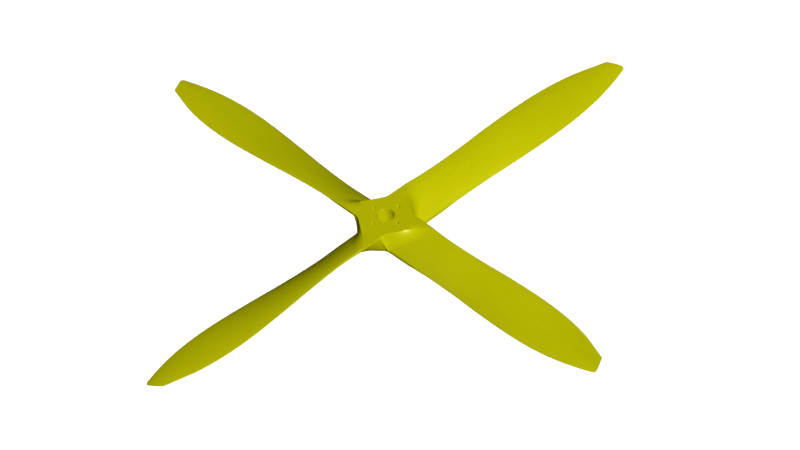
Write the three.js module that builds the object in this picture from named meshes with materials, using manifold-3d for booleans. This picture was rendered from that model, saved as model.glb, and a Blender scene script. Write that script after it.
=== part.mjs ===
// A four-blade wooden propeller, carved from a stack of glued boards.
// Millimetres. The axis of rotation is +Z. The rear face lies on Z = 0 and the front face looks along +Z.
// The blades lie along +X, +Y, -X and -Y. Seen from the front the propeller turns counter-clockwise.
import * as THREE from 'three';
import { mergeVertices } from 'three/addons/utils/BufferGeometryUtils.js';
import Module from 'manifold-3d';

// Hub
const BLADE_COUNT = 4;
const HUB_THICKNESS = 47.25;
const BORE_RADIUS = 19.25;
const BOLT_HOLE_RADIUS = 4.25;
const BOLT_CIRCLE_RADIUS = 35.25;

// Shoulders: where the flat hub faces end and fall to the blade. Each crosses the blade at a slant,
// at radius + slant * t, where t is the place across the blade.
const FRONT_SHOULDER = { radius: 66.3, slant: 0.65 };
const REAR_SHOULDER = { radius: 72.5, slant: 0.78 };
// The blend below a shoulder is tight in the corner between two blades and wide at the far end.
const TIGHT_BLEND = 8;
const WIDE_BLEND = 27;

// Blade stations, each [radius, half width, sweep, rise, crown, belly, edge].
// "Sweep" shifts the section towards the leading edge. The chord runs from the trailing edge, "rise"
// below its middle, to the leading edge, "rise" above it. The crown is the bulge of the front surface
// and the belly that of the rear one. "Edge" is the thickness left at both edges.
const STATIONS = [
  [0, 40.5, 0, 20.4, 7.0, 7.2, 6.4],
  [95, 40.3, 0, 20.4, 7.2, 7.0, 6.2],
  [150, 39.5, -0.3, 19.9, 7.4, 6.2, 2.8],
  [240, 42.6, 0.2, 17.0, 6.6, 5.0, 2.0],
  [330, 49.0, 0.6, 14.1, 5.4, 4.2, 1.8],
  [430, 53.0, 0.6, 10.0, 4.6, 3.6, 1.7],
  [500, 50.4, 0.2, 7.4, 4.0, 3.0, 1.6],
  [560, 42.0, -0.5, 5.3, 3.2, 2.4, 1.5],
  [610, 28.9, -1.7, 3.7, 2.4, 1.8, 1.4],
  [650, 16.6, -1.5, 2.6, 1.6, 1.2, 1.3],
];
const SECTION_FULLNESS = 0.85;
// Beyond the hub the middle of the chord lies a little below the hub's middle plane.
const CHORD_DROP = 0.8;

// Tip: cut off at a slant, with a round corner at the trailing edge and a crisp one at the leading edge
const TIP_RADIUS = 650;
const TIP_CUT_RADIUS = 644.7;
const TIP_CUT_SLANT = -0.517;
const TIP_SLANT_FROM = 540;
const TRAILING_CORNER = 10;
const LEADING_CORNER = 2;

// Boards: thin layers, in which one long board runs through the hub and two short ones butt against it
const LAYERS = 7;
const BOARD_HALF_WIDTH = 55;
const GLUE_GAP = 0.3;

// Mesh fineness
const CHORD_STEPS = 8;
const BLEND_STEPS = 6;
const BLADE_RADII = [118, 150, 190, 240, 290, 340, 390, 440, 490, 530, 565, 595, 618];
const BORE_SEGMENTS = 40;
const BOLT_HOLE_SEGMENTS = 16;

const HALF_HUB = HUB_THICKNESS / 2;

// The front surface, and the rear one as it is seen from behind, where the leading edge is on the
// other side and up is down
const FRONT = { shoulder: FRONT_SHOULDER, bulge: 'crown', sign: 1 };
const REAR = { shoulder: REAR_SHOULDER, bulge: 'belly', sign: -1 };

const wasm = await Module();
wasm.setup();

const stationCurves = new THREE.CubicInterpolant(
  STATIONS.map((row) => row[0]),
  STATIONS.flatMap((row) => row.slice(1)),
  6,
);

// The blade's measures at a radius
function measuresAt(radius) {
  const [halfWidth, sweep, rise, crown, belly, edge] = stationCurves.evaluate(Math.min(radius, TIP_RADIUS));
  const drop = CHORD_DROP * THREE.MathUtils.smoothstep(radius, 95, 240);
  return { halfWidth, sweep, rise, crown, belly, edge, drop };
}

// How far a corner of the given radius pulls an edge in, at a distance before the cut
function cornerInset(corner, beforeCut) {
  if (beforeCut >= corner) return 0;
  return corner - Math.sqrt(corner ** 2 - (corner - beforeCut) ** 2);
}

// How wide the blend below the shoulder is, at a place across the blade
function blendWidth(t) {
  return THREE.MathUtils.lerp(TIGHT_BLEND, WIDE_BLEND, THREE.MathUtils.smoothstep(t, -45, 10));
}

function shoulderCosine(shoulder) {
  return 1 / Math.hypot(1, shoulder.slant);
}

// A station line crosses the blade at radius + slant * t + blend * blendWidth(t).
function stationLines(face) {
  const { radius: shoulderRadius, slant: shoulderSlant } = face.shoulder;
  const tipSlant = TIP_CUT_SLANT * face.sign;
  const lines = [{ radius: 0, slant: 0, blend: 0 }];
  for (let i = 0; i <= BLEND_STEPS; i++) {
    const blend = (i / BLEND_STEPS) ** 1.2 / shoulderCosine(face.shoulder);
    lines.push({ radius: shoulderRadius, slant: shoulderSlant, blend });
  }
  for (const radius of BLADE_RADII) {
    const rootShare = 1 - THREE.MathUtils.smoothstep(radius, 90, 240);
    const tipShare = THREE.MathUtils.smoothstep(radius, TIP_SLANT_FROM, TIP_CUT_RADIUS - TRAILING_CORNER);
    lines.push({ radius, slant: shoulderSlant * rootShare + tipSlant * tipShare, blend: 0 });
  }
  for (const beforeCut of [TRAILING_CORNER, 6, 3, 1, 0])
    lines.push({ radius: TIP_CUT_RADIUS - beforeCut, slant: tipSlant, blend: 0 });
  return lines;
}

function radiusOn(line, t) {
  return line.radius + line.slant * t + line.blend * blendWidth(t);
}

// Where a station line meets one edge of the blade; side is +1 or -1
function edgeAt(line, face, side) {
  const corner = side === face.sign ? LEADING_CORNER : TRAILING_CORNER;
  let t = 0;
  for (let i = 0; i < 8; i++) {
    const m = measuresAt(radiusOn(line, t));
    t = face.sign * m.sweep + side * m.halfWidth;
  }
  return t - side * cornerInset(corner, TIP_CUT_RADIUS - line.radius);
}

// Height of a surface over the hub's middle plane
function surfaceHeight(face, radius, t) {
  const m = measuresAt(radius);
  const across = (t - face.sign * m.sweep) / m.halfWidth;
  const bulge = m[face.bulge] * Math.max(1 - across ** 2, 0) ** SECTION_FULLNESS;
  const blade = Math.min(m.rise * across - face.sign * m.drop + bulge + m.edge / 2, HALF_HUB);
  const beyond = (radius - face.shoulder.radius - face.shoulder.slant * t) * shoulderCosine(face.shoulder);
  const blend = THREE.MathUtils.clamp(1 - beyond / blendWidth(t), 0, 1) ** 2;
  return blade + blend * (HALF_HUB - blade);
}

// A closed solid under one surface, down to a plane well below the blade
function solidUnder(face) {
  const FLOOR = -40;
  const positions = [];
  const lines = stationLines(face);
  for (const line of lines) {
    const low = edgeAt(line, face, -1);
    const high = edgeAt(line, face, 1);
    for (let j = 0; j <= CHORD_STEPS; j++) {
      const share = (1 - Math.cos((Math.PI * j) / CHORD_STEPS)) / 2;
      const t = THREE.MathUtils.lerp(low, high, share);
      const radius = radiusOn(line, t);
      positions.push(radius, t, surfaceHeight(face, radius, t));
    }
  }
  const row = CHORD_STEPS + 1;
  const topCount = lines.length * row;
  for (let i = 0; i < topCount; i++) positions.push(positions[3 * i], positions[3 * i + 1], FLOOR);
  return solidFromGrid(positions, lines.length, row);
}

// A solid between a grid of points and the same grid at its foot
function solidFromGrid(positions, rows, columns) {
  const foot = rows * columns;
  const triangles = [];
  const quad = (a, b, c, d) => triangles.push(a, b, c, a, c, d);
  for (let i = 0; i + 1 < rows; i++) {
    for (let j = 0; j + 1 < columns; j++) {
      const a = i * columns + j;
      quad(a, a + columns, a + columns + 1, a + 1);
      quad(foot + a, foot + a + 1, foot + a + columns + 1, foot + a + columns);
    }
    const left = i * columns;
    const right = left + columns - 1;
    quad(left, foot + left, foot + left + columns, left + columns);
    quad(right + columns, foot + right + columns, foot + right, right);
  }
  const last = (rows - 1) * columns;
  for (let j = 0; j + 1 < columns; j++) {
    quad(j + 1, foot + j + 1, foot + j, j);
    quad(last + j, foot + last + j, foot + last + j + 1, last + j + 1);
  }
  return new wasm.Manifold(
    new wasm.Mesh({
      numProp: 3,
      vertProperties: new Float32Array(positions),
      triVerts: new Uint32Array(triangles),
    }),
  );
}

// A closed three.js geometry as a solid
function solidFromGeometry(geometry) {
  const bare = geometry.clone();
  bare.deleteAttribute('normal');
  bare.deleteAttribute('uv');
  const merged = mergeVertices(bare, 1e-4);
  return new wasm.Manifold(
    new wasm.Mesh({
      numProp: 3,
      vertProperties: merged.attributes.position.array,
      triVerts: new Uint32Array(merged.index.array),
    }),
  );
}

function geometryFromSolid(solid) {
  const mesh = solid.getMesh();
  const geometry = new THREE.BufferGeometry();
  geometry.setAttribute('position', new THREE.BufferAttribute(mesh.vertProperties, 3));
  geometry.setIndex(new THREE.BufferAttribute(mesh.triVerts, 1));
  const flat = geometry.toNonIndexed();
  flat.computeVertexNormals();
  return flat;
}

// One blade with its quarter of the hub, along +X, centred on the hub's middle plane
function makeBlade() {
  return solidUnder(FRONT).intersect(solidUnder(REAR).rotate([180, 0, 0]));
}

function makeHole(radius, segments, x, y) {
  const geometry = new THREE.CylinderGeometry(radius, radius, 2 * HUB_THICKNESS, segments);
  geometry.rotateX(Math.PI / 2).translate(x, y, HALF_HUB);
  return solidFromGeometry(geometry);
}

// The whole carved propeller, before it is divided into its boards
function makeCarvedStack() {
  const blade = makeBlade().translate([0, 0, HALF_HUB]);
  let stack = blade;
  for (let i = 1; i < BLADE_COUNT; i++) stack = stack.add(blade.rotate([0, 0, (360 / BLADE_COUNT) * i]));
  stack = stack.subtract(makeHole(BORE_RADIUS, BORE_SEGMENTS, 0, 0));
  for (let i = 0; i < BLADE_COUNT; i++) {
    const angle = (2 * Math.PI * i) / BLADE_COUNT;
    const x = BOLT_CIRCLE_RADIUS * Math.cos(angle);
    const y = BOLT_CIRCLE_RADIUS * Math.sin(angle);
    stack = stack.subtract(makeHole(BOLT_HOLE_RADIUS, BOLT_HOLE_SEGMENTS, x, y));
  }
  return stack;
}

// The blank of one board, from one length to another along X, turned about the axis
function makeBlank(layer, fromX, toX, turn) {
  const pitch = HUB_THICKNESS / LAYERS;
  const bottom = layer * pitch + (layer > 0 ? GLUE_GAP / 2 : -GLUE_GAP);
  const top = (layer + 1) * pitch + (layer + 1 < LAYERS ? -GLUE_GAP / 2 : GLUE_GAP);
  const geometry = new THREE.BoxGeometry(toX - fromX, 2 * BOARD_HALF_WIDTH, top - bottom);
  geometry.translate((fromX + toX) / 2, 0, (bottom + top) / 2);
  return solidFromGeometry(geometry).rotate([0, 0, turn]);
}

function makeBoard(name, stack, blank, colour) {
  const material = new THREE.MeshStandardMaterial({ color: colour, roughness: 0.4, metalness: 0 });
  const board = new THREE.Mesh(geometryFromSolid(stack.intersect(blank)), material);
  board.name = name;
  return board;
}

// Every layer: a long board along one pair of blades, and two short ones for the pair that crosses it
function makePropeller() {
  const REACH = TIP_RADIUS + 10;
  const COLOURS = [0xb3b000, 0xa8a500];
  const propeller = new THREE.Group();
  propeller.name = 'wooden_propeller';
  const stack = makeCarvedStack();
  for (let layer = 0; layer < LAYERS; layer++) {
    const turn = layer % 2 ? 90 : 0;
    const colour = COLOURS[layer % 2];
    const label = `layer_${layer + 1}`;
    const long = makeBlank(layer, -REACH, REACH, turn);
    propeller.add(makeBoard(`${label}_through_board`, stack, long, colour));
    for (const blade of layer % 2 ? [1, 3] : [2, 4]) {
      const short = makeBlank(layer, BOARD_HALF_WIDTH + GLUE_GAP, REACH, (blade - 1) * 90);
      propeller.add(makeBoard(`${label}_blade_${blade}_board`, stack, short, colour));
    }
  }
  return propeller;
}

const group = makePropeller();
export default group;
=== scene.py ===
"""A four-blade wooden propeller in mustard-yellow paint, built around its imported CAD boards.

The frame is the CAD one, in metres: the axis of rotation is +Z, the rear hub face lies on Z = 0 and the
blades lie along +X, +Y, -X and -Y. Shapes are worked out in millimetres from the hub's middle plane and
moved into the frame as they become meshes.
"""

import math

import bpy
import numpy as np
from mathutils import Matrix, Vector


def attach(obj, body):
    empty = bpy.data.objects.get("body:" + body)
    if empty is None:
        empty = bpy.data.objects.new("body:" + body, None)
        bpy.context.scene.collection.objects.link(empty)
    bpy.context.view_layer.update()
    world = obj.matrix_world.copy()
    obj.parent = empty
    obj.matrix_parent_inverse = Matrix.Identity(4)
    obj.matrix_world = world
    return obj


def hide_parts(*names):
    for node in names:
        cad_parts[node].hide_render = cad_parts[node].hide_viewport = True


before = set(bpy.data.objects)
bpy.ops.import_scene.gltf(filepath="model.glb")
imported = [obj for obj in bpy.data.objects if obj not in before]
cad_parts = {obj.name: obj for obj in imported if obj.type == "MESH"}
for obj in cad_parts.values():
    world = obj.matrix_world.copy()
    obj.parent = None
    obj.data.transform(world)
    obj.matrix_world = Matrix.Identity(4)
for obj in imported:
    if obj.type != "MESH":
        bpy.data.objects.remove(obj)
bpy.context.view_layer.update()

MM = 0.001

# Hub
BLADE_COUNT = 4
HUB_THICKNESS = 47.25
HALF_HUB = HUB_THICKNESS / 2
BORE_RADIUS = 19.25
BOLT_HOLE_RADIUS = 4.25
BOLT_CIRCLE_RADIUS = 35.25
HOLE_CHAMFER = 0.3

# Shoulders: where the flat hub faces fall to the blade, at radius + slant * t across the blade
FRONT_SHOULDER = {"radius": 66.3, "slant": 0.65}
REAR_SHOULDER = {"radius": 72.5, "slant": 0.78}
# The blend below a shoulder is tight in the corner between two blades and widens across the blade. The
# power is how quickly it flattens out.
FRONT_BLEND = {"tight": 6, "wide": 30, "tight_up_to": -46, "wide_from": 8, "power": 2.4}
REAR_BLEND = {"tight": 6, "wide": 44, "tight_up_to": -48, "wide_from": 0, "power": 1.1}

# Corners between two blades: how far out they are along X and Y, how softly a shoulder turns into the
# next blade's edge, and the radius of the web left in the corner
CORNER = 40.3
CORNER_SOFTNESS = 1.4
WEB_RADIUS = 14

# Blade stations: radius, half width, sweep, rise, crown, belly, edge thickness
STATIONS = np.array([
    [0, 40.5, 0, 20.4, 7.0, 7.2, 6.4],
    [95, 40.3, 0, 20.4, 7.2, 7.0, 6.2],
    [150, 39.5, -0.3, 19.9, 7.4, 6.2, 2.8],
    [240, 42.6, 0.2, 17.0, 6.6, 5.0, 2.0],
    [330, 49.0, 0.6, 14.1, 5.4, 4.2, 1.8],
    [430, 53.0, 0.6, 10.0, 4.6, 3.6, 1.7],
    [500, 50.4, 0.2, 7.4, 4.0, 3.0, 1.6],
    [560, 42.0, -0.5, 5.3, 3.2, 2.4, 1.5],
    [610, 28.9, -1.7, 3.7, 2.4, 1.8, 1.4],
    [650, 16.6, -1.5, 2.6, 1.6, 1.2, 1.3],
])
SECTION_FULLNESS = 0.85
CHORD_DROP = 0.8
DROP_FROM = 95
ROOT_FROM = 90
ROOT_TO = 240
THINNEST_NOSE = 0.7

# Tip
TIP_RADIUS = 650
TIP_CUT_RADIUS = 644.7
TIP_CUT_SLANT = -0.517
TIP_SLANT_FROM = 540
TRAILING_CORNER = 10
LEADING_CORNER = 2

# Boards
LAYERS = 7
BOARD_HALF_WIDTH = 55.15
GLUE_LINE = 0.03

# Paint: two close shades, and the wood's grain, its fibres, broad clouds and the paint's orange peel as
# noise, each with its scale per metre. The grain and the fibres are drawn out along a board.
PAINT_DARK = (0.380, 0.378, 0.0, 1)
PAINT_LIGHT = (0.420, 0.418, 0.0, 1)
GRAIN_SCALE = 110
GRAIN_STRETCH = 0.05
FIBRE_SCALE = 700
CLOUD_SCALE = 7
PEEL_SCALE = 450
NOISE_LOW = 0.3
NOISE_HIGH = 0.7
GRAIN_TONE = 0.45
CLOUD_TONE = 0.55
GLUE_TONE = 0.3
GRAIN_RELIEF = 0.6
FIBRE_RELIEF = 0.25
PEEL_RELIEF = 0.15
GLUE_RELIEF = 0.2
GLOSSIEST = 0.27
DULLEST = 0.35
SPECULAR_LEVEL = 0.3
SPECULAR_TINT = (1.0, 0.95, 0.3, 1)
RELIEF_DEPTH = 0.06
RELIEF_STRENGTH = 0.5
GLUE_LINE_WIDTH = 0.35

# Mesh fineness. BLADE_FROM has to lie beyond the widest blend, or the rows of points would fold.
CHORD_STEPS = 48
HUB_SHARES = (0, 0.25, 0.5, 0.75)
BLEND_STEPS = 22
BLEND_CROWDING = 1.2
TRANSITION_STEPS = 26
BLADE_FROM = 180
BLADE_STEP = 4
TIP_STEPS = 12
WEB_STEPS = 14
WEB_ARC_POINTS = 25
EDGE_ROUNDS = 12
BORE_SEGMENTS = 96
BOLT_HOLE_SEGMENTS = 40

# How far a cutting solid reaches past what it cuts, and how far below the blades a solid's foot lies
OVERLAP = 1
FAR_OVERLAP = 10
FOOT = 40

# Shading: the angle at which an edge counts as crisp, how level a glued face is and how near its plane
CRISP_ANGLE = math.radians(34)
LEVEL = 0.9999
NEAR_PLANE = 0.004

# "Nose" is how far in from the edge each surface starts to round off, as a share of half its thickness.
FRONT = {"shoulder": FRONT_SHOULDER, "blend": FRONT_BLEND, "bulge": "crown", "sign": 1, "nose": 0.5}
REAR = {"shoulder": REAR_SHOULDER, "blend": REAR_BLEND, "bulge": "belly", "sign": -1, "nose": 0.8}

# The photograph's view: its elevation and roll, and how far blade 1 is turned from the picture's right
VIEW_ELEVATION = math.radians(42.145)
VIEW_ROLL = math.radians(8.04)
VIEW_HEADING = math.radians(36.835)
VIEW_WIDTH = 1.64057
VIEW_CENTRE = (0.02757, -0.00259)
VIEW_DISTANCE = 42.0
SENSOR = 36.0

# Light, and the floor in metres. The sky is a level of light for each direction, by the height of that
# direction: it fades from 1, straight up, to FADE_FROM, which is 30 degrees below the horizon. A sun has
# the place it stands in, as (right, away, up) for the viewer, its strength and its softness in degrees.
SKY_STRENGTH = 0.13
GROUND_STRENGTH = 0.02
FADE_FROM = -0.5
KEY = {"towards": (0.150, -0.384, 0.355), "strength": 4.57, "softness": 20}
FILL = {"towards": (-0.5, 0.2, 0.3), "strength": 0.25, "softness": 30}
HIGHLIGHT = {"towards": (0.27, -0.76, 0.56), "strength": 9.0, "softness": 34}
SUN_DISTANCE = 4
FLOOR_HALF = 30
FLOOR_HEIGHT = -0.45
FLOOR_SHADE = 0.85
FLOOR_GLOW = 0.5
WHITE = (1, 1, 1, 1)

RIGHT = Vector((math.cos(VIEW_HEADING), -math.sin(VIEW_HEADING), 0))
AWAY = Vector((math.sin(VIEW_HEADING), math.cos(VIEW_HEADING), 0))
UP = Vector((0, 0, 1))


# ---------------------------------------------------------------- camera, light and floor

def make_camera():
    """A long lens at the photograph's angle."""
    looking = AWAY * math.cos(VIEW_ELEVATION) - UP * math.sin(VIEW_ELEVATION)
    level_up = AWAY * math.sin(VIEW_ELEVATION) + UP * math.cos(VIEW_ELEVATION)
    right = RIGHT * math.cos(VIEW_ROLL) - level_up * math.sin(VIEW_ROLL)
    up = RIGHT * math.sin(VIEW_ROLL) + level_up * math.cos(VIEW_ROLL)
    centre = Vector((0, 0, HALF_HUB * MM)) + right * VIEW_CENTRE[0] + up * VIEW_CENTRE[1]
    data = bpy.data.cameras.new("camera")
    data.sensor_width = SENSOR
    data.lens = SENSOR * VIEW_DISTANCE / VIEW_WIDTH
    data.clip_start = 1
    data.clip_end = 100
    camera = bpy.data.objects.new("camera", data)
    turn = Matrix((right, up, -looking)).transposed().to_4x4()
    camera.matrix_world = Matrix.Translation(centre - looking * VIEW_DISTANCE) @ turn
    bpy.context.scene.collection.objects.link(camera)
    bpy.context.scene.camera = camera


def make_sun(name, towards, strength, softness, diffuse=True, glossy=False):
    """A shadowless distant light, seen by matt surfaces, by shiny ones or by both."""
    data = bpy.data.lights.new(name, "SUN")
    data.use_shadow = False
    data.energy = strength
    data.angle = math.radians(softness)
    sun = bpy.data.objects.new(name, data)
    side = (RIGHT * towards[0] + AWAY * towards[1] + UP * towards[2]).normalized()
    sun.rotation_mode = "QUATERNION"
    sun.rotation_quaternion = (-side).to_track_quat("-Z", "Y")
    sun.location = side * SUN_DISTANCE
    sun.visible_diffuse = diffuse
    sun.visible_glossy = glossy
    bpy.context.scene.collection.objects.link(sun)


def make_world():
    """Dim light from above that fades below the horizon; the camera itself sees white."""
    world = bpy.data.worlds.new("studio")
    world.use_nodes = True
    nodes, links = world.node_tree.nodes, world.node_tree.links
    nodes.clear()
    output = nodes.new("ShaderNodeOutputWorld")
    mix = nodes.new("ShaderNodeMixShader")
    dim = nodes.new("ShaderNodeBackground")
    white = nodes.new("ShaderNodeBackground")
    path = nodes.new("ShaderNodeLightPath")
    place = nodes.new("ShaderNodeTexCoord")
    split = nodes.new("ShaderNodeSeparateXYZ")
    fade = nodes.new("ShaderNodeMapRange")
    dim.inputs["Color"].default_value = WHITE
    fade.inputs["From Min"].default_value = FADE_FROM
    fade.inputs["From Max"].default_value = 1.0
    fade.inputs["To Min"].default_value = GROUND_STRENGTH
    fade.inputs["To Max"].default_value = SKY_STRENGTH
    links.new(place.outputs["Generated"], split.inputs["Vector"])
    links.new(split.outputs["Z"], fade.inputs["Value"])
    links.new(fade.outputs["Result"], dim.inputs["Strength"])
    white.inputs["Color"].default_value = WHITE
    links.new(path.outputs["Is Camera Ray"], mix.inputs["Fac"])
    links.new(dim.outputs["Background"], mix.inputs[1])
    links.new(white.outputs["Background"], mix.inputs[2])
    links.new(mix.outputs["Shader"], output.inputs["Surface"])
    bpy.context.scene.world = world
    world.cycles_visibility.glossy = False


def make_floor():
    """A plain pale floor, well below the propeller."""
    size = FLOOR_HALF
    mesh = bpy.data.meshes.new("floor")
    corners = [(-size, -size, 0), (size, -size, 0), (size, size, 0), (-size, size, 0)]
    mesh.from_pydata(corners, [], [(0, 1, 2, 3)])
    floor = bpy.data.objects.new("floor", mesh)
    floor.location.z = FLOOR_HEIGHT
    bpy.context.scene.collection.objects.link(floor)
    material = bpy.data.materials.new("pale_floor")
    material.use_nodes = True
    shader = material.node_tree.nodes["Principled BSDF"]
    shader.inputs["Base Color"].default_value = (FLOOR_SHADE, FLOOR_SHADE, FLOOR_SHADE, 1)
    shader.inputs["Roughness"].default_value = 0.9
    shader.inputs["Specular IOR Level"].default_value = 0.0
    shader.inputs["Emission Color"].default_value = WHITE
    shader.inputs["Emission Strength"].default_value = FLOOR_GLOW
    mesh.materials.append(material)
    floor.visible_diffuse = False
    floor.visible_glossy = False


# ---------------------------------------------------------------- the carved surfaces, in millimetres

def smoothstep(x, low, high):
    share = np.clip((x - low) / (high - low), 0, 1)
    return share * share * (3 - 2 * share)


def measures_at(radius):
    """The blade's measures at each radius, on a smooth curve through the stations."""
    radii, values = STATIONS[:, 0], STATIONS[:, 1:]
    slopes = np.diff(values, axis=0) / np.diff(radii)[:, None]
    tangents = np.vstack([slopes[:1], (slopes[:-1] + slopes[1:]) / 2, slopes[-1:]])
    r = np.clip(radius, 0, TIP_RADIUS)
    k = np.clip(np.searchsorted(radii, r, side="right") - 1, 0, len(radii) - 2)
    gap = (radii[k + 1] - radii[k])[..., None]
    p = (r - radii[k])[..., None] / gap
    curve = (
        values[k] * (2 * p**3 - 3 * p**2 + 1)
        + tangents[k] * gap * (p**3 - 2 * p**2 + p)
        + values[k + 1] * (3 * p**2 - 2 * p**3)
        + tangents[k + 1] * gap * (p**3 - p**2)
    )
    names = ("half_width", "sweep", "rise", "crown", "belly", "edge")
    measures = {name: curve[..., i] for i, name in enumerate(names)}
    measures["drop"] = CHORD_DROP * smoothstep(r, DROP_FROM, ROOT_TO)
    return measures


def blend_width(face, t):
    """How wide the blend below a shoulder is, at a place across the blade."""
    blend = face["blend"]
    share = smoothstep(t, blend["tight_up_to"], blend["wide_from"])
    return blend["tight"] + (blend["wide"] - blend["tight"]) * share


def shoulder_cosine(shoulder):
    return 1 / math.hypot(1, shoulder["slant"])


def corner_turn(shoulder, t):
    """How far a shoulder is pushed out where it turns into the next blade's edge."""
    half = (shoulder["radius"] + shoulder["slant"] * t - CORNER) / 2
    return np.sqrt(half**2 + CORNER_SOFTNESS**2) - half


def station_lines(face):
    """Lines across the blade, from the hub to the tip, each radius, slant, blend and turn of radius_on."""
    shoulder = face["shoulder"]
    radius, slant = shoulder["radius"], shoulder["slant"]
    tip_slant = TIP_CUT_SLANT * face["sign"]
    whole_blend = 1 / shoulder_cosine(shoulder)
    shares = np.linspace(0, 1, BLEND_STEPS + 1) ** BLEND_CROWDING
    lines = [(radius * share, slant * share, 0, share) for share in HUB_SHARES]
    lines += [(radius, slant, share * whole_blend, 1) for share in shares]

    def blade_line(radius):
        root_share = 1 - smoothstep(radius, ROOT_FROM, ROOT_TO)
        tip_share = smoothstep(radius, TIP_SLANT_FROM, TIP_CUT_RADIUS - TRAILING_CORNER)
        return (radius, slant * root_share + tip_slant * tip_share, 0, 0)

    start, end = np.array(lines[-1], float), np.array(blade_line(BLADE_FROM), float)
    for step in range(1, TRANSITION_STEPS):
        lines.append(tuple(start + (end - start) * step / TRANSITION_STEPS))
    last = TIP_CUT_RADIUS - TRAILING_CORNER
    steps = round((last - BLADE_FROM) / BLADE_STEP)
    lines += [blade_line(radius) for radius in np.linspace(BLADE_FROM, last, steps + 1)[:-1]]
    for share in np.linspace(1, 0, TIP_STEPS + 1):
        lines.append((TIP_CUT_RADIUS - TRAILING_CORNER * share**2, tip_slant, 0, 0))
    return np.array(lines, float).T[:, :, None]


def radius_on(lines, face, t):
    radius, slant, blend, turn = lines
    return radius + slant * t + blend * blend_width(face, t) + turn * corner_turn(face["shoulder"], t)


def edge_at(lines, face, side):
    """Where each station line meets one edge of the blade; side is +1 or -1."""
    corner = LEADING_CORNER if side == face["sign"] else TRAILING_CORNER
    t = np.zeros_like(lines[0])
    for _ in range(EDGE_ROUNDS):
        m = measures_at(radius_on(lines, face, t))
        t = face["sign"] * m["sweep"] + side * m["half_width"]
    before_cut = TIP_CUT_RADIUS - lines[0]
    missing = np.clip(corner - before_cut, 0, corner)
    return t - side * (corner - np.sqrt(corner**2 - missing**2))


def surface_height(face, radius, t, from_edge):
    """Height of a surface over the hub's middle plane, rounded off at the edges."""
    m = measures_at(radius)
    shoulder = face["shoulder"]
    across = (t - face["sign"] * m["sweep"]) / m["half_width"]
    bulge = m[face["bulge"]] * np.maximum(1 - across**2, 0) ** SECTION_FULLNESS
    start = shoulder["radius"] + shoulder["slant"] * t + corner_turn(shoulder, t)
    nose_radius = m["edge"] / 2
    missing = np.clip(1 - from_edge / (face["nose"] * nose_radius), 0, 1)
    nose = np.maximum(np.sqrt(1 - missing**2), THINNEST_NOSE) * nose_radius
    blade = np.minimum(m["rise"] * across - face["sign"] * m["drop"] + bulge + nose, HALF_HUB)
    beyond = (radius - start) * shoulder_cosine(shoulder)
    blend = np.clip(1 - beyond / blend_width(face, t), 0, 1) ** face["blend"]["power"]
    return blade + blend * (HALF_HUB - blade)


def surface_points(face):
    """A grid of points on one surface: rows are station lines, columns run across the blade."""
    lines = station_lines(face)
    low, high = edge_at(lines, face, -1), edge_at(lines, face, 1)
    share = (1 - np.cos(np.pi * np.arange(CHORD_STEPS + 1) / CHORD_STEPS)) / 2
    t = low + (high - low) * share[None, :]
    radius = radius_on(lines, face, t)
    from_edge = np.minimum(np.minimum(t - low, high - t), TIP_CUT_RADIUS - lines[0])
    return np.stack([radius, t, surface_height(face, radius, t, from_edge)], axis=-1)


# ---------------------------------------------------------------- solids

def make_object(name, points, faces):
    """A mesh object from points in millimetres from the hub's middle plane."""
    mesh = bpy.data.meshes.new(name)
    placed = np.asarray(points, float) * MM + np.array([0, 0, HALF_HUB * MM])
    mesh.from_pydata(placed.tolist(), [], faces)
    mesh.validate()
    made = bpy.data.objects.new(name, mesh)
    bpy.context.scene.collection.objects.link(made)
    return made


def solid_between(name, top, bottom):
    """A closed solid between two grids of points, the top one above the bottom one."""
    rows, columns = top.shape[:2]
    points = np.concatenate([top.reshape(-1, 3), bottom.reshape(-1, 3)])
    foot = rows * columns
    faces = []
    for i in range(rows - 1):
        for j in range(columns - 1):
            a = i * columns + j
            b = a + columns
            faces.append((a, b, b + 1, a + 1))
            faces.append((foot + a, foot + a + 1, foot + b + 1, foot + b))
        left = i * columns
        right = left + columns - 1
        faces.append((left, foot + left, foot + left + columns, left + columns))
        faces.append((right + columns, foot + right + columns, foot + right, right))
    last = (rows - 1) * columns
    for j in range(columns - 1):
        faces.append((j + 1, foot + j + 1, foot + j, j))
        faces.append((last + j, foot + last + j, foot + last + j + 1, last + j + 1))
    return make_object(name, points, faces)


def boolean(target, other, operation):
    """Combines two closed solids into the first, and removes the second."""
    modifier = target.modifiers.new("cut", "BOOLEAN")
    modifier.operation = operation
    modifier.solver = "MANIFOLD"
    modifier.object = other
    result = bpy.data.meshes.new_from_object(target.evaluated_get(bpy.context.evaluated_depsgraph_get()))
    target.modifiers.clear()
    target.data = result
    bpy.data.objects.remove(other)
    return target


def copy_turned(source, quarter_turns):
    """A copy of a solid, turned about the axis of rotation."""
    mesh = source.data.copy()
    mesh.transform(Matrix.Rotation(quarter_turns * math.pi / 2, 4, "Z"))
    copy = bpy.data.objects.new(source.name, mesh)
    bpy.context.scene.collection.objects.link(copy)
    return copy


def solid_under(points):
    """A closed solid under a grid of points, down to a plane well below the blade."""
    return solid_between("solid", points, points * [1, 1, 0] - [0, 0, FOOT])


def turn_over(solid):
    """Turns a solid about blade 1's own axis, so that its front becomes its rear."""
    centre = Matrix.Translation((0, 0, HALF_HUB * MM))
    solid.data.transform(centre @ Matrix.Rotation(math.pi, 4, "X") @ centre.inverted())
    return solid


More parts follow.
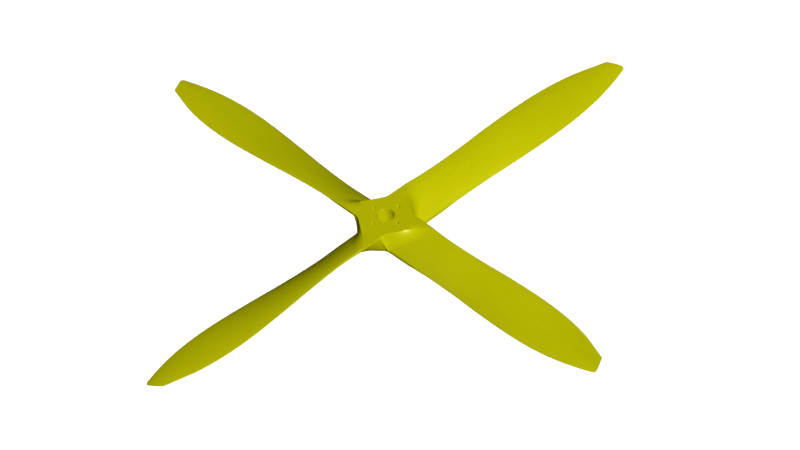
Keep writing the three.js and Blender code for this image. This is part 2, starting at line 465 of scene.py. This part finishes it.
def web_points(face):
    """One surface carried on past the trailing edge of its blade, into the corner."""
    lines = station_lines(face)[:, : len(HUB_SHARES) + BLEND_STEPS + 1 + TRANSITION_STEPS]
    t = -np.linspace(CORNER + WEB_RADIUS + OVERLAP, CORNER - 2 * OVERLAP, WEB_STEPS + 1)[None, :]
    t = t + np.zeros_like(lines[0])
    radius = radius_on(lines, face, t)
    return np.stack([radius, t, surface_height(face, radius, t, np.inf)], axis=-1)


def make_web_outline():
    """The web's plan as a prism: the corner with a round left in it."""
    inside, far = CORNER - OVERLAP, CORNER + WEB_RADIUS
    angles = np.linspace(0, np.pi / 2, WEB_ARC_POINTS)
    arc = [(far - WEB_RADIUS * math.sin(a), far - WEB_RADIUS * math.cos(a)) for a in angles]
    plan = [(inside, inside), (far, inside)] + arc + [(inside, far)]
    count = len(plan)
    points = [(x, y, z) for z in (-2 * HALF_HUB, 2 * HALF_HUB) for x, y in plan]
    faces = [tuple(reversed(range(count))), tuple(range(count, 2 * count))]
    faces += [(i, (i + 1) % count, (i + 1) % count + count, i + count) for i in range(count)]
    return make_object("outline", points, faces)


def make_web():
    """The corner between blade 1's leading edge and blade 2's trailing edge."""
    web = make_web_outline()
    over = solid_under(web_points(FRONT))
    over.data.transform(Matrix.Rotation(math.pi / 2, 4, "Z"))
    boolean(web, over, "INTERSECT")
    return boolean(web, turn_over(solid_under(web_points(REAR))), "INTERSECT")


def make_blade():
    """One blade with its quarter of the hub and the web beside it, along +X."""
    blade = solid_under(surface_points(FRONT))
    boolean(blade, turn_over(solid_under(surface_points(REAR))), "INTERSECT")
    return boolean(blade, make_web(), "UNION")


def make_hole(radius, x, y, segments):
    """A round cutter right through the hub, widened to a small chamfer at both faces."""
    wide = radius + HOLE_CHAMFER + FAR_OVERLAP
    profile = [
        (wide, HALF_HUB + FAR_OVERLAP),
        (radius, HALF_HUB - HOLE_CHAMFER),
        (radius, HOLE_CHAMFER - HALF_HUB),
        (wide, -HALF_HUB - FAR_OVERLAP),
    ]
    angles = np.arange(segments) * 2 * np.pi / segments
    points = [
        (x + r * math.cos(a), y + r * math.sin(a), z)
        for r, z in profile for a in angles
    ]
    faces = [tuple(range(segments)), tuple(reversed(range(3 * segments, 4 * segments)))]
    for ring in range(3):
        for i in range(segments):
            a, b = ring * segments + i, ring * segments + (i + 1) % segments
            faces.append((b, a, a + segments, b + segments))
    return make_object("hole", points, faces)


def make_carved_stack():
    """The whole propeller in one solid, before it is divided into its boards."""
    stack = make_blade()
    boolean(stack, copy_turned(stack, 1), "UNION")
    boolean(stack, copy_turned(stack, 2), "UNION")
    boolean(stack, make_hole(BORE_RADIUS, 0, 0, BORE_SEGMENTS), "DIFFERENCE")
    for i in range(BLADE_COUNT):
        angle = i * math.pi / 2
        x, y = BOLT_CIRCLE_RADIUS * math.cos(angle), BOLT_CIRCLE_RADIUS * math.sin(angle)
        boolean(stack, make_hole(BOLT_HOLE_RADIUS, x, y, BOLT_HOLE_SEGMENTS), "DIFFERENCE")
    return stack


def make_blank(layer, from_x, to_x, quarter_turns):
    """The blank of one board, from one length to another along X, turned about the axis."""
    pitch = HUB_THICKNESS / LAYERS
    bottom = layer * pitch - HALF_HUB + (GLUE_LINE / 2 if layer > 0 else -OVERLAP)
    top = (layer + 1) * pitch - HALF_HUB + (-GLUE_LINE / 2 if layer + 1 < LAYERS else OVERLAP)
    half = BOARD_HALF_WIDTH - GLUE_LINE / 2
    corners = [(from_x, -half), (to_x, -half), (to_x, half), (from_x, half)]
    points = [(x, y, z) for z in (bottom, top) for x, y in corners]
    faces = [(3, 2, 1, 0), (4, 5, 6, 7)]
    faces += [(i, (i + 1) % 4, (i + 1) % 4 + 4, i + 4) for i in range(4)]
    blank = make_object("blank", points, faces)
    blank.data.transform(Matrix.Rotation(quarter_turns * math.pi / 2, 4, "Z"))
    return blank


def sharpen(mesh, layer):
    """Smooth shading that stops at crisp edges and at the board's own glued faces."""
    mesh.shade_smooth()
    mesh.set_sharp_from_angle(angle=CRISP_ANGLE)
    pitch = HUB_THICKNESS / LAYERS
    planes = [layer * pitch + GLUE_LINE / 2, (layer + 1) * pitch - GLUE_LINE / 2]
    glued = set()
    for polygon in mesh.polygons:
        level = abs(polygon.normal.z) > LEVEL
        height = polygon.center.z / MM
        if level and min(abs(height - plane) for plane in planes) < NEAR_PLANE:
            glued.add(polygon.index)
    sides = {}
    for polygon in mesh.polygons:
        for key in polygon.edge_keys:
            sides.setdefault(key, []).append(polygon.index in glued)
    sharp = mesh.attributes["sharp_edge"].data
    for edge in mesh.edges:
        if len(set(sides.get(edge.key, []))) == 2:
            sharp[edge.index].value = True


def make_board(node, stack, layer, from_x, to_x, quarter_turns, material):
    """One carved board, which stands for its CAD node."""
    blank = make_blank(layer, from_x, to_x, quarter_turns)
    board = bpy.data.objects.new(node.replace("layer", "board"), stack.data.copy())
    bpy.context.scene.collection.objects.link(board)
    boolean(board, blank, "INTERSECT")
    sharpen(board.data, layer)
    board.data.materials.clear()
    board.data.materials.append(material)
    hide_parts(node)
    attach(board, "root")


# ---------------------------------------------------------------- paint

def add_noise(tree, place, scale, stretch, detail, seed):
    """Noise in the frame's own coordinates, drawn out along one axis by stretch."""
    mapping = tree.nodes.new("ShaderNodeMapping")
    mapping.inputs["Scale"].default_value = stretch
    mapping.inputs["Location"].default_value = (seed, 0, 0)
    noise = tree.nodes.new("ShaderNodeTexNoise")
    noise.inputs["Scale"].default_value = scale
    noise.inputs["Detail"].default_value = detail
    noise.inputs["Roughness"].default_value = 0.55
    tree.links.new(place.outputs["Object"], mapping.inputs["Vector"])
    tree.links.new(mapping.outputs["Vector"], noise.inputs["Vector"])
    return noise.outputs["Fac"]


def add_range(tree, value, from_low, from_high, to_low, to_high):
    """Carries a value from one range to another."""
    ranged = tree.nodes.new("ShaderNodeMapRange")
    ranged.inputs["From Min"].default_value = from_low
    ranged.inputs["From Max"].default_value = from_high
    ranged.inputs["To Min"].default_value = to_low
    ranged.inputs["To Max"].default_value = to_high
    tree.links.new(value, ranged.inputs["Value"])
    return ranged.outputs["Result"]


def add_sum(tree, first, second, operation="ADD"):
    """Two values added, or the second taken from the first."""
    node = tree.nodes.new("ShaderNodeMath")
    node.operation = operation
    tree.links.new(first, node.inputs[0])
    tree.links.new(second, node.inputs[1])
    return node.outputs["Value"]


def add_glue_lines(tree, place):
    """1 on the planes where two layers meet, 0 away from them."""
    split = tree.nodes.new("ShaderNodeSeparateXYZ")
    tree.links.new(place.outputs["Object"], split.inputs["Vector"])
    pitch = HUB_THICKNESS / LAYERS * MM
    distance = tree.nodes.new("ShaderNodeMath")
    distance.operation = "PINGPONG"
    distance.inputs[1].default_value = pitch / 2
    tree.links.new(split.outputs["Z"], distance.inputs[0])
    return add_range(tree, distance.outputs["Value"], 0, GLUE_LINE_WIDTH * MM, 1, 0)


def make_paint(name, along):
    """Mustard-yellow satin paint over wood, with the grain along X (0) or Y (1)."""
    material = bpy.data.materials.new(name)
    material.use_nodes = True
    tree = material.node_tree
    shader = tree.nodes["Principled BSDF"]
    place = tree.nodes.new("ShaderNodeTexCoord")
    stretch = [1, 1, 1]
    stretch[along] = GRAIN_STRETCH
    grain = add_noise(tree, place, GRAIN_SCALE, stretch, 5, 3.1)
    fibres = add_noise(tree, place, FIBRE_SCALE, stretch, 2, 7.7)
    clouds = add_noise(tree, place, CLOUD_SCALE, (1, 1, 1), 3, 1.3)
    orange_peel = add_noise(tree, place, PEEL_SCALE, (1, 1, 1), 2, 5.9)
    glue = add_glue_lines(tree, place)

    grain_tone = add_range(tree, grain, NOISE_LOW, NOISE_HIGH, 0, GRAIN_TONE)
    cloud_tone = add_range(tree, clouds, NOISE_LOW, NOISE_HIGH, 0, CLOUD_TONE)
    tone = add_sum(tree, grain_tone, cloud_tone)
    tone = add_sum(tree, tone, add_range(tree, glue, 0, 1, 0, GLUE_TONE), "SUBTRACT")
    colour = tree.nodes.new("ShaderNodeMix")
    colour.data_type = "RGBA"
    colour.inputs["A"].default_value = PAINT_DARK
    colour.inputs["B"].default_value = PAINT_LIGHT
    tree.links.new(tone, colour.inputs["Factor"])
    tree.links.new(colour.outputs["Result"], shader.inputs["Base Color"])

    gloss = add_range(tree, clouds, NOISE_LOW, NOISE_HIGH, GLOSSIEST, DULLEST)
    tree.links.new(gloss, shader.inputs["Roughness"])
    shader.inputs["Specular IOR Level"].default_value = SPECULAR_LEVEL
    shader.inputs["Specular Tint"].default_value = SPECULAR_TINT

    grain_relief = add_range(tree, grain, 0, 1, 0, GRAIN_RELIEF)
    relief = add_sum(tree, grain_relief, add_range(tree, fibres, 0, 1, 0, FIBRE_RELIEF))
    relief = add_sum(tree, relief, add_range(tree, orange_peel, 0, 1, 0, PEEL_RELIEF))
    relief = add_sum(tree, relief, add_range(tree, glue, 0, 1, 0, GLUE_RELIEF), "SUBTRACT")
    bump = tree.nodes.new("ShaderNodeBump")
    bump.inputs["Strength"].default_value = RELIEF_STRENGTH
    bump.inputs["Distance"].default_value = RELIEF_DEPTH * MM
    tree.links.new(relief, bump.inputs["Height"])
    tree.links.new(bump.outputs["Normal"], shader.inputs["Normal"])
    return material


def make_propeller():
    """All 21 boards: in each layer a through board and two short boards against its sides."""
    reach = TIP_RADIUS + FAR_OVERLAP
    stack = make_carved_stack()
    paints = [make_paint("paint_along_x", 0), make_paint("paint_along_y", 1)]
    inner = BOARD_HALF_WIDTH + GLUE_LINE / 2
    for layer in range(LAYERS):
        turn = layer % 2
        label = f"layer_{layer + 1}"
        make_board(f"{label}_through_board", stack, layer, -reach, reach, turn, paints[turn])
        for blade in ((2, 4), (1, 3))[turn]:
            node = f"{label}_blade_{blade}_board"
            make_board(node, stack, layer, inner, reach, blade - 1, paints[1 - turn])
    bpy.data.objects.remove(stack)


make_camera()
bpy.context.scene.view_settings.view_transform = "Standard"
make_world()
make_sun("key", **KEY)
make_sun("fill", **FILL)
make_sun("highlight", **HIGHLIGHT, diffuse=False, glossy=True)
make_floor()
make_propeller()
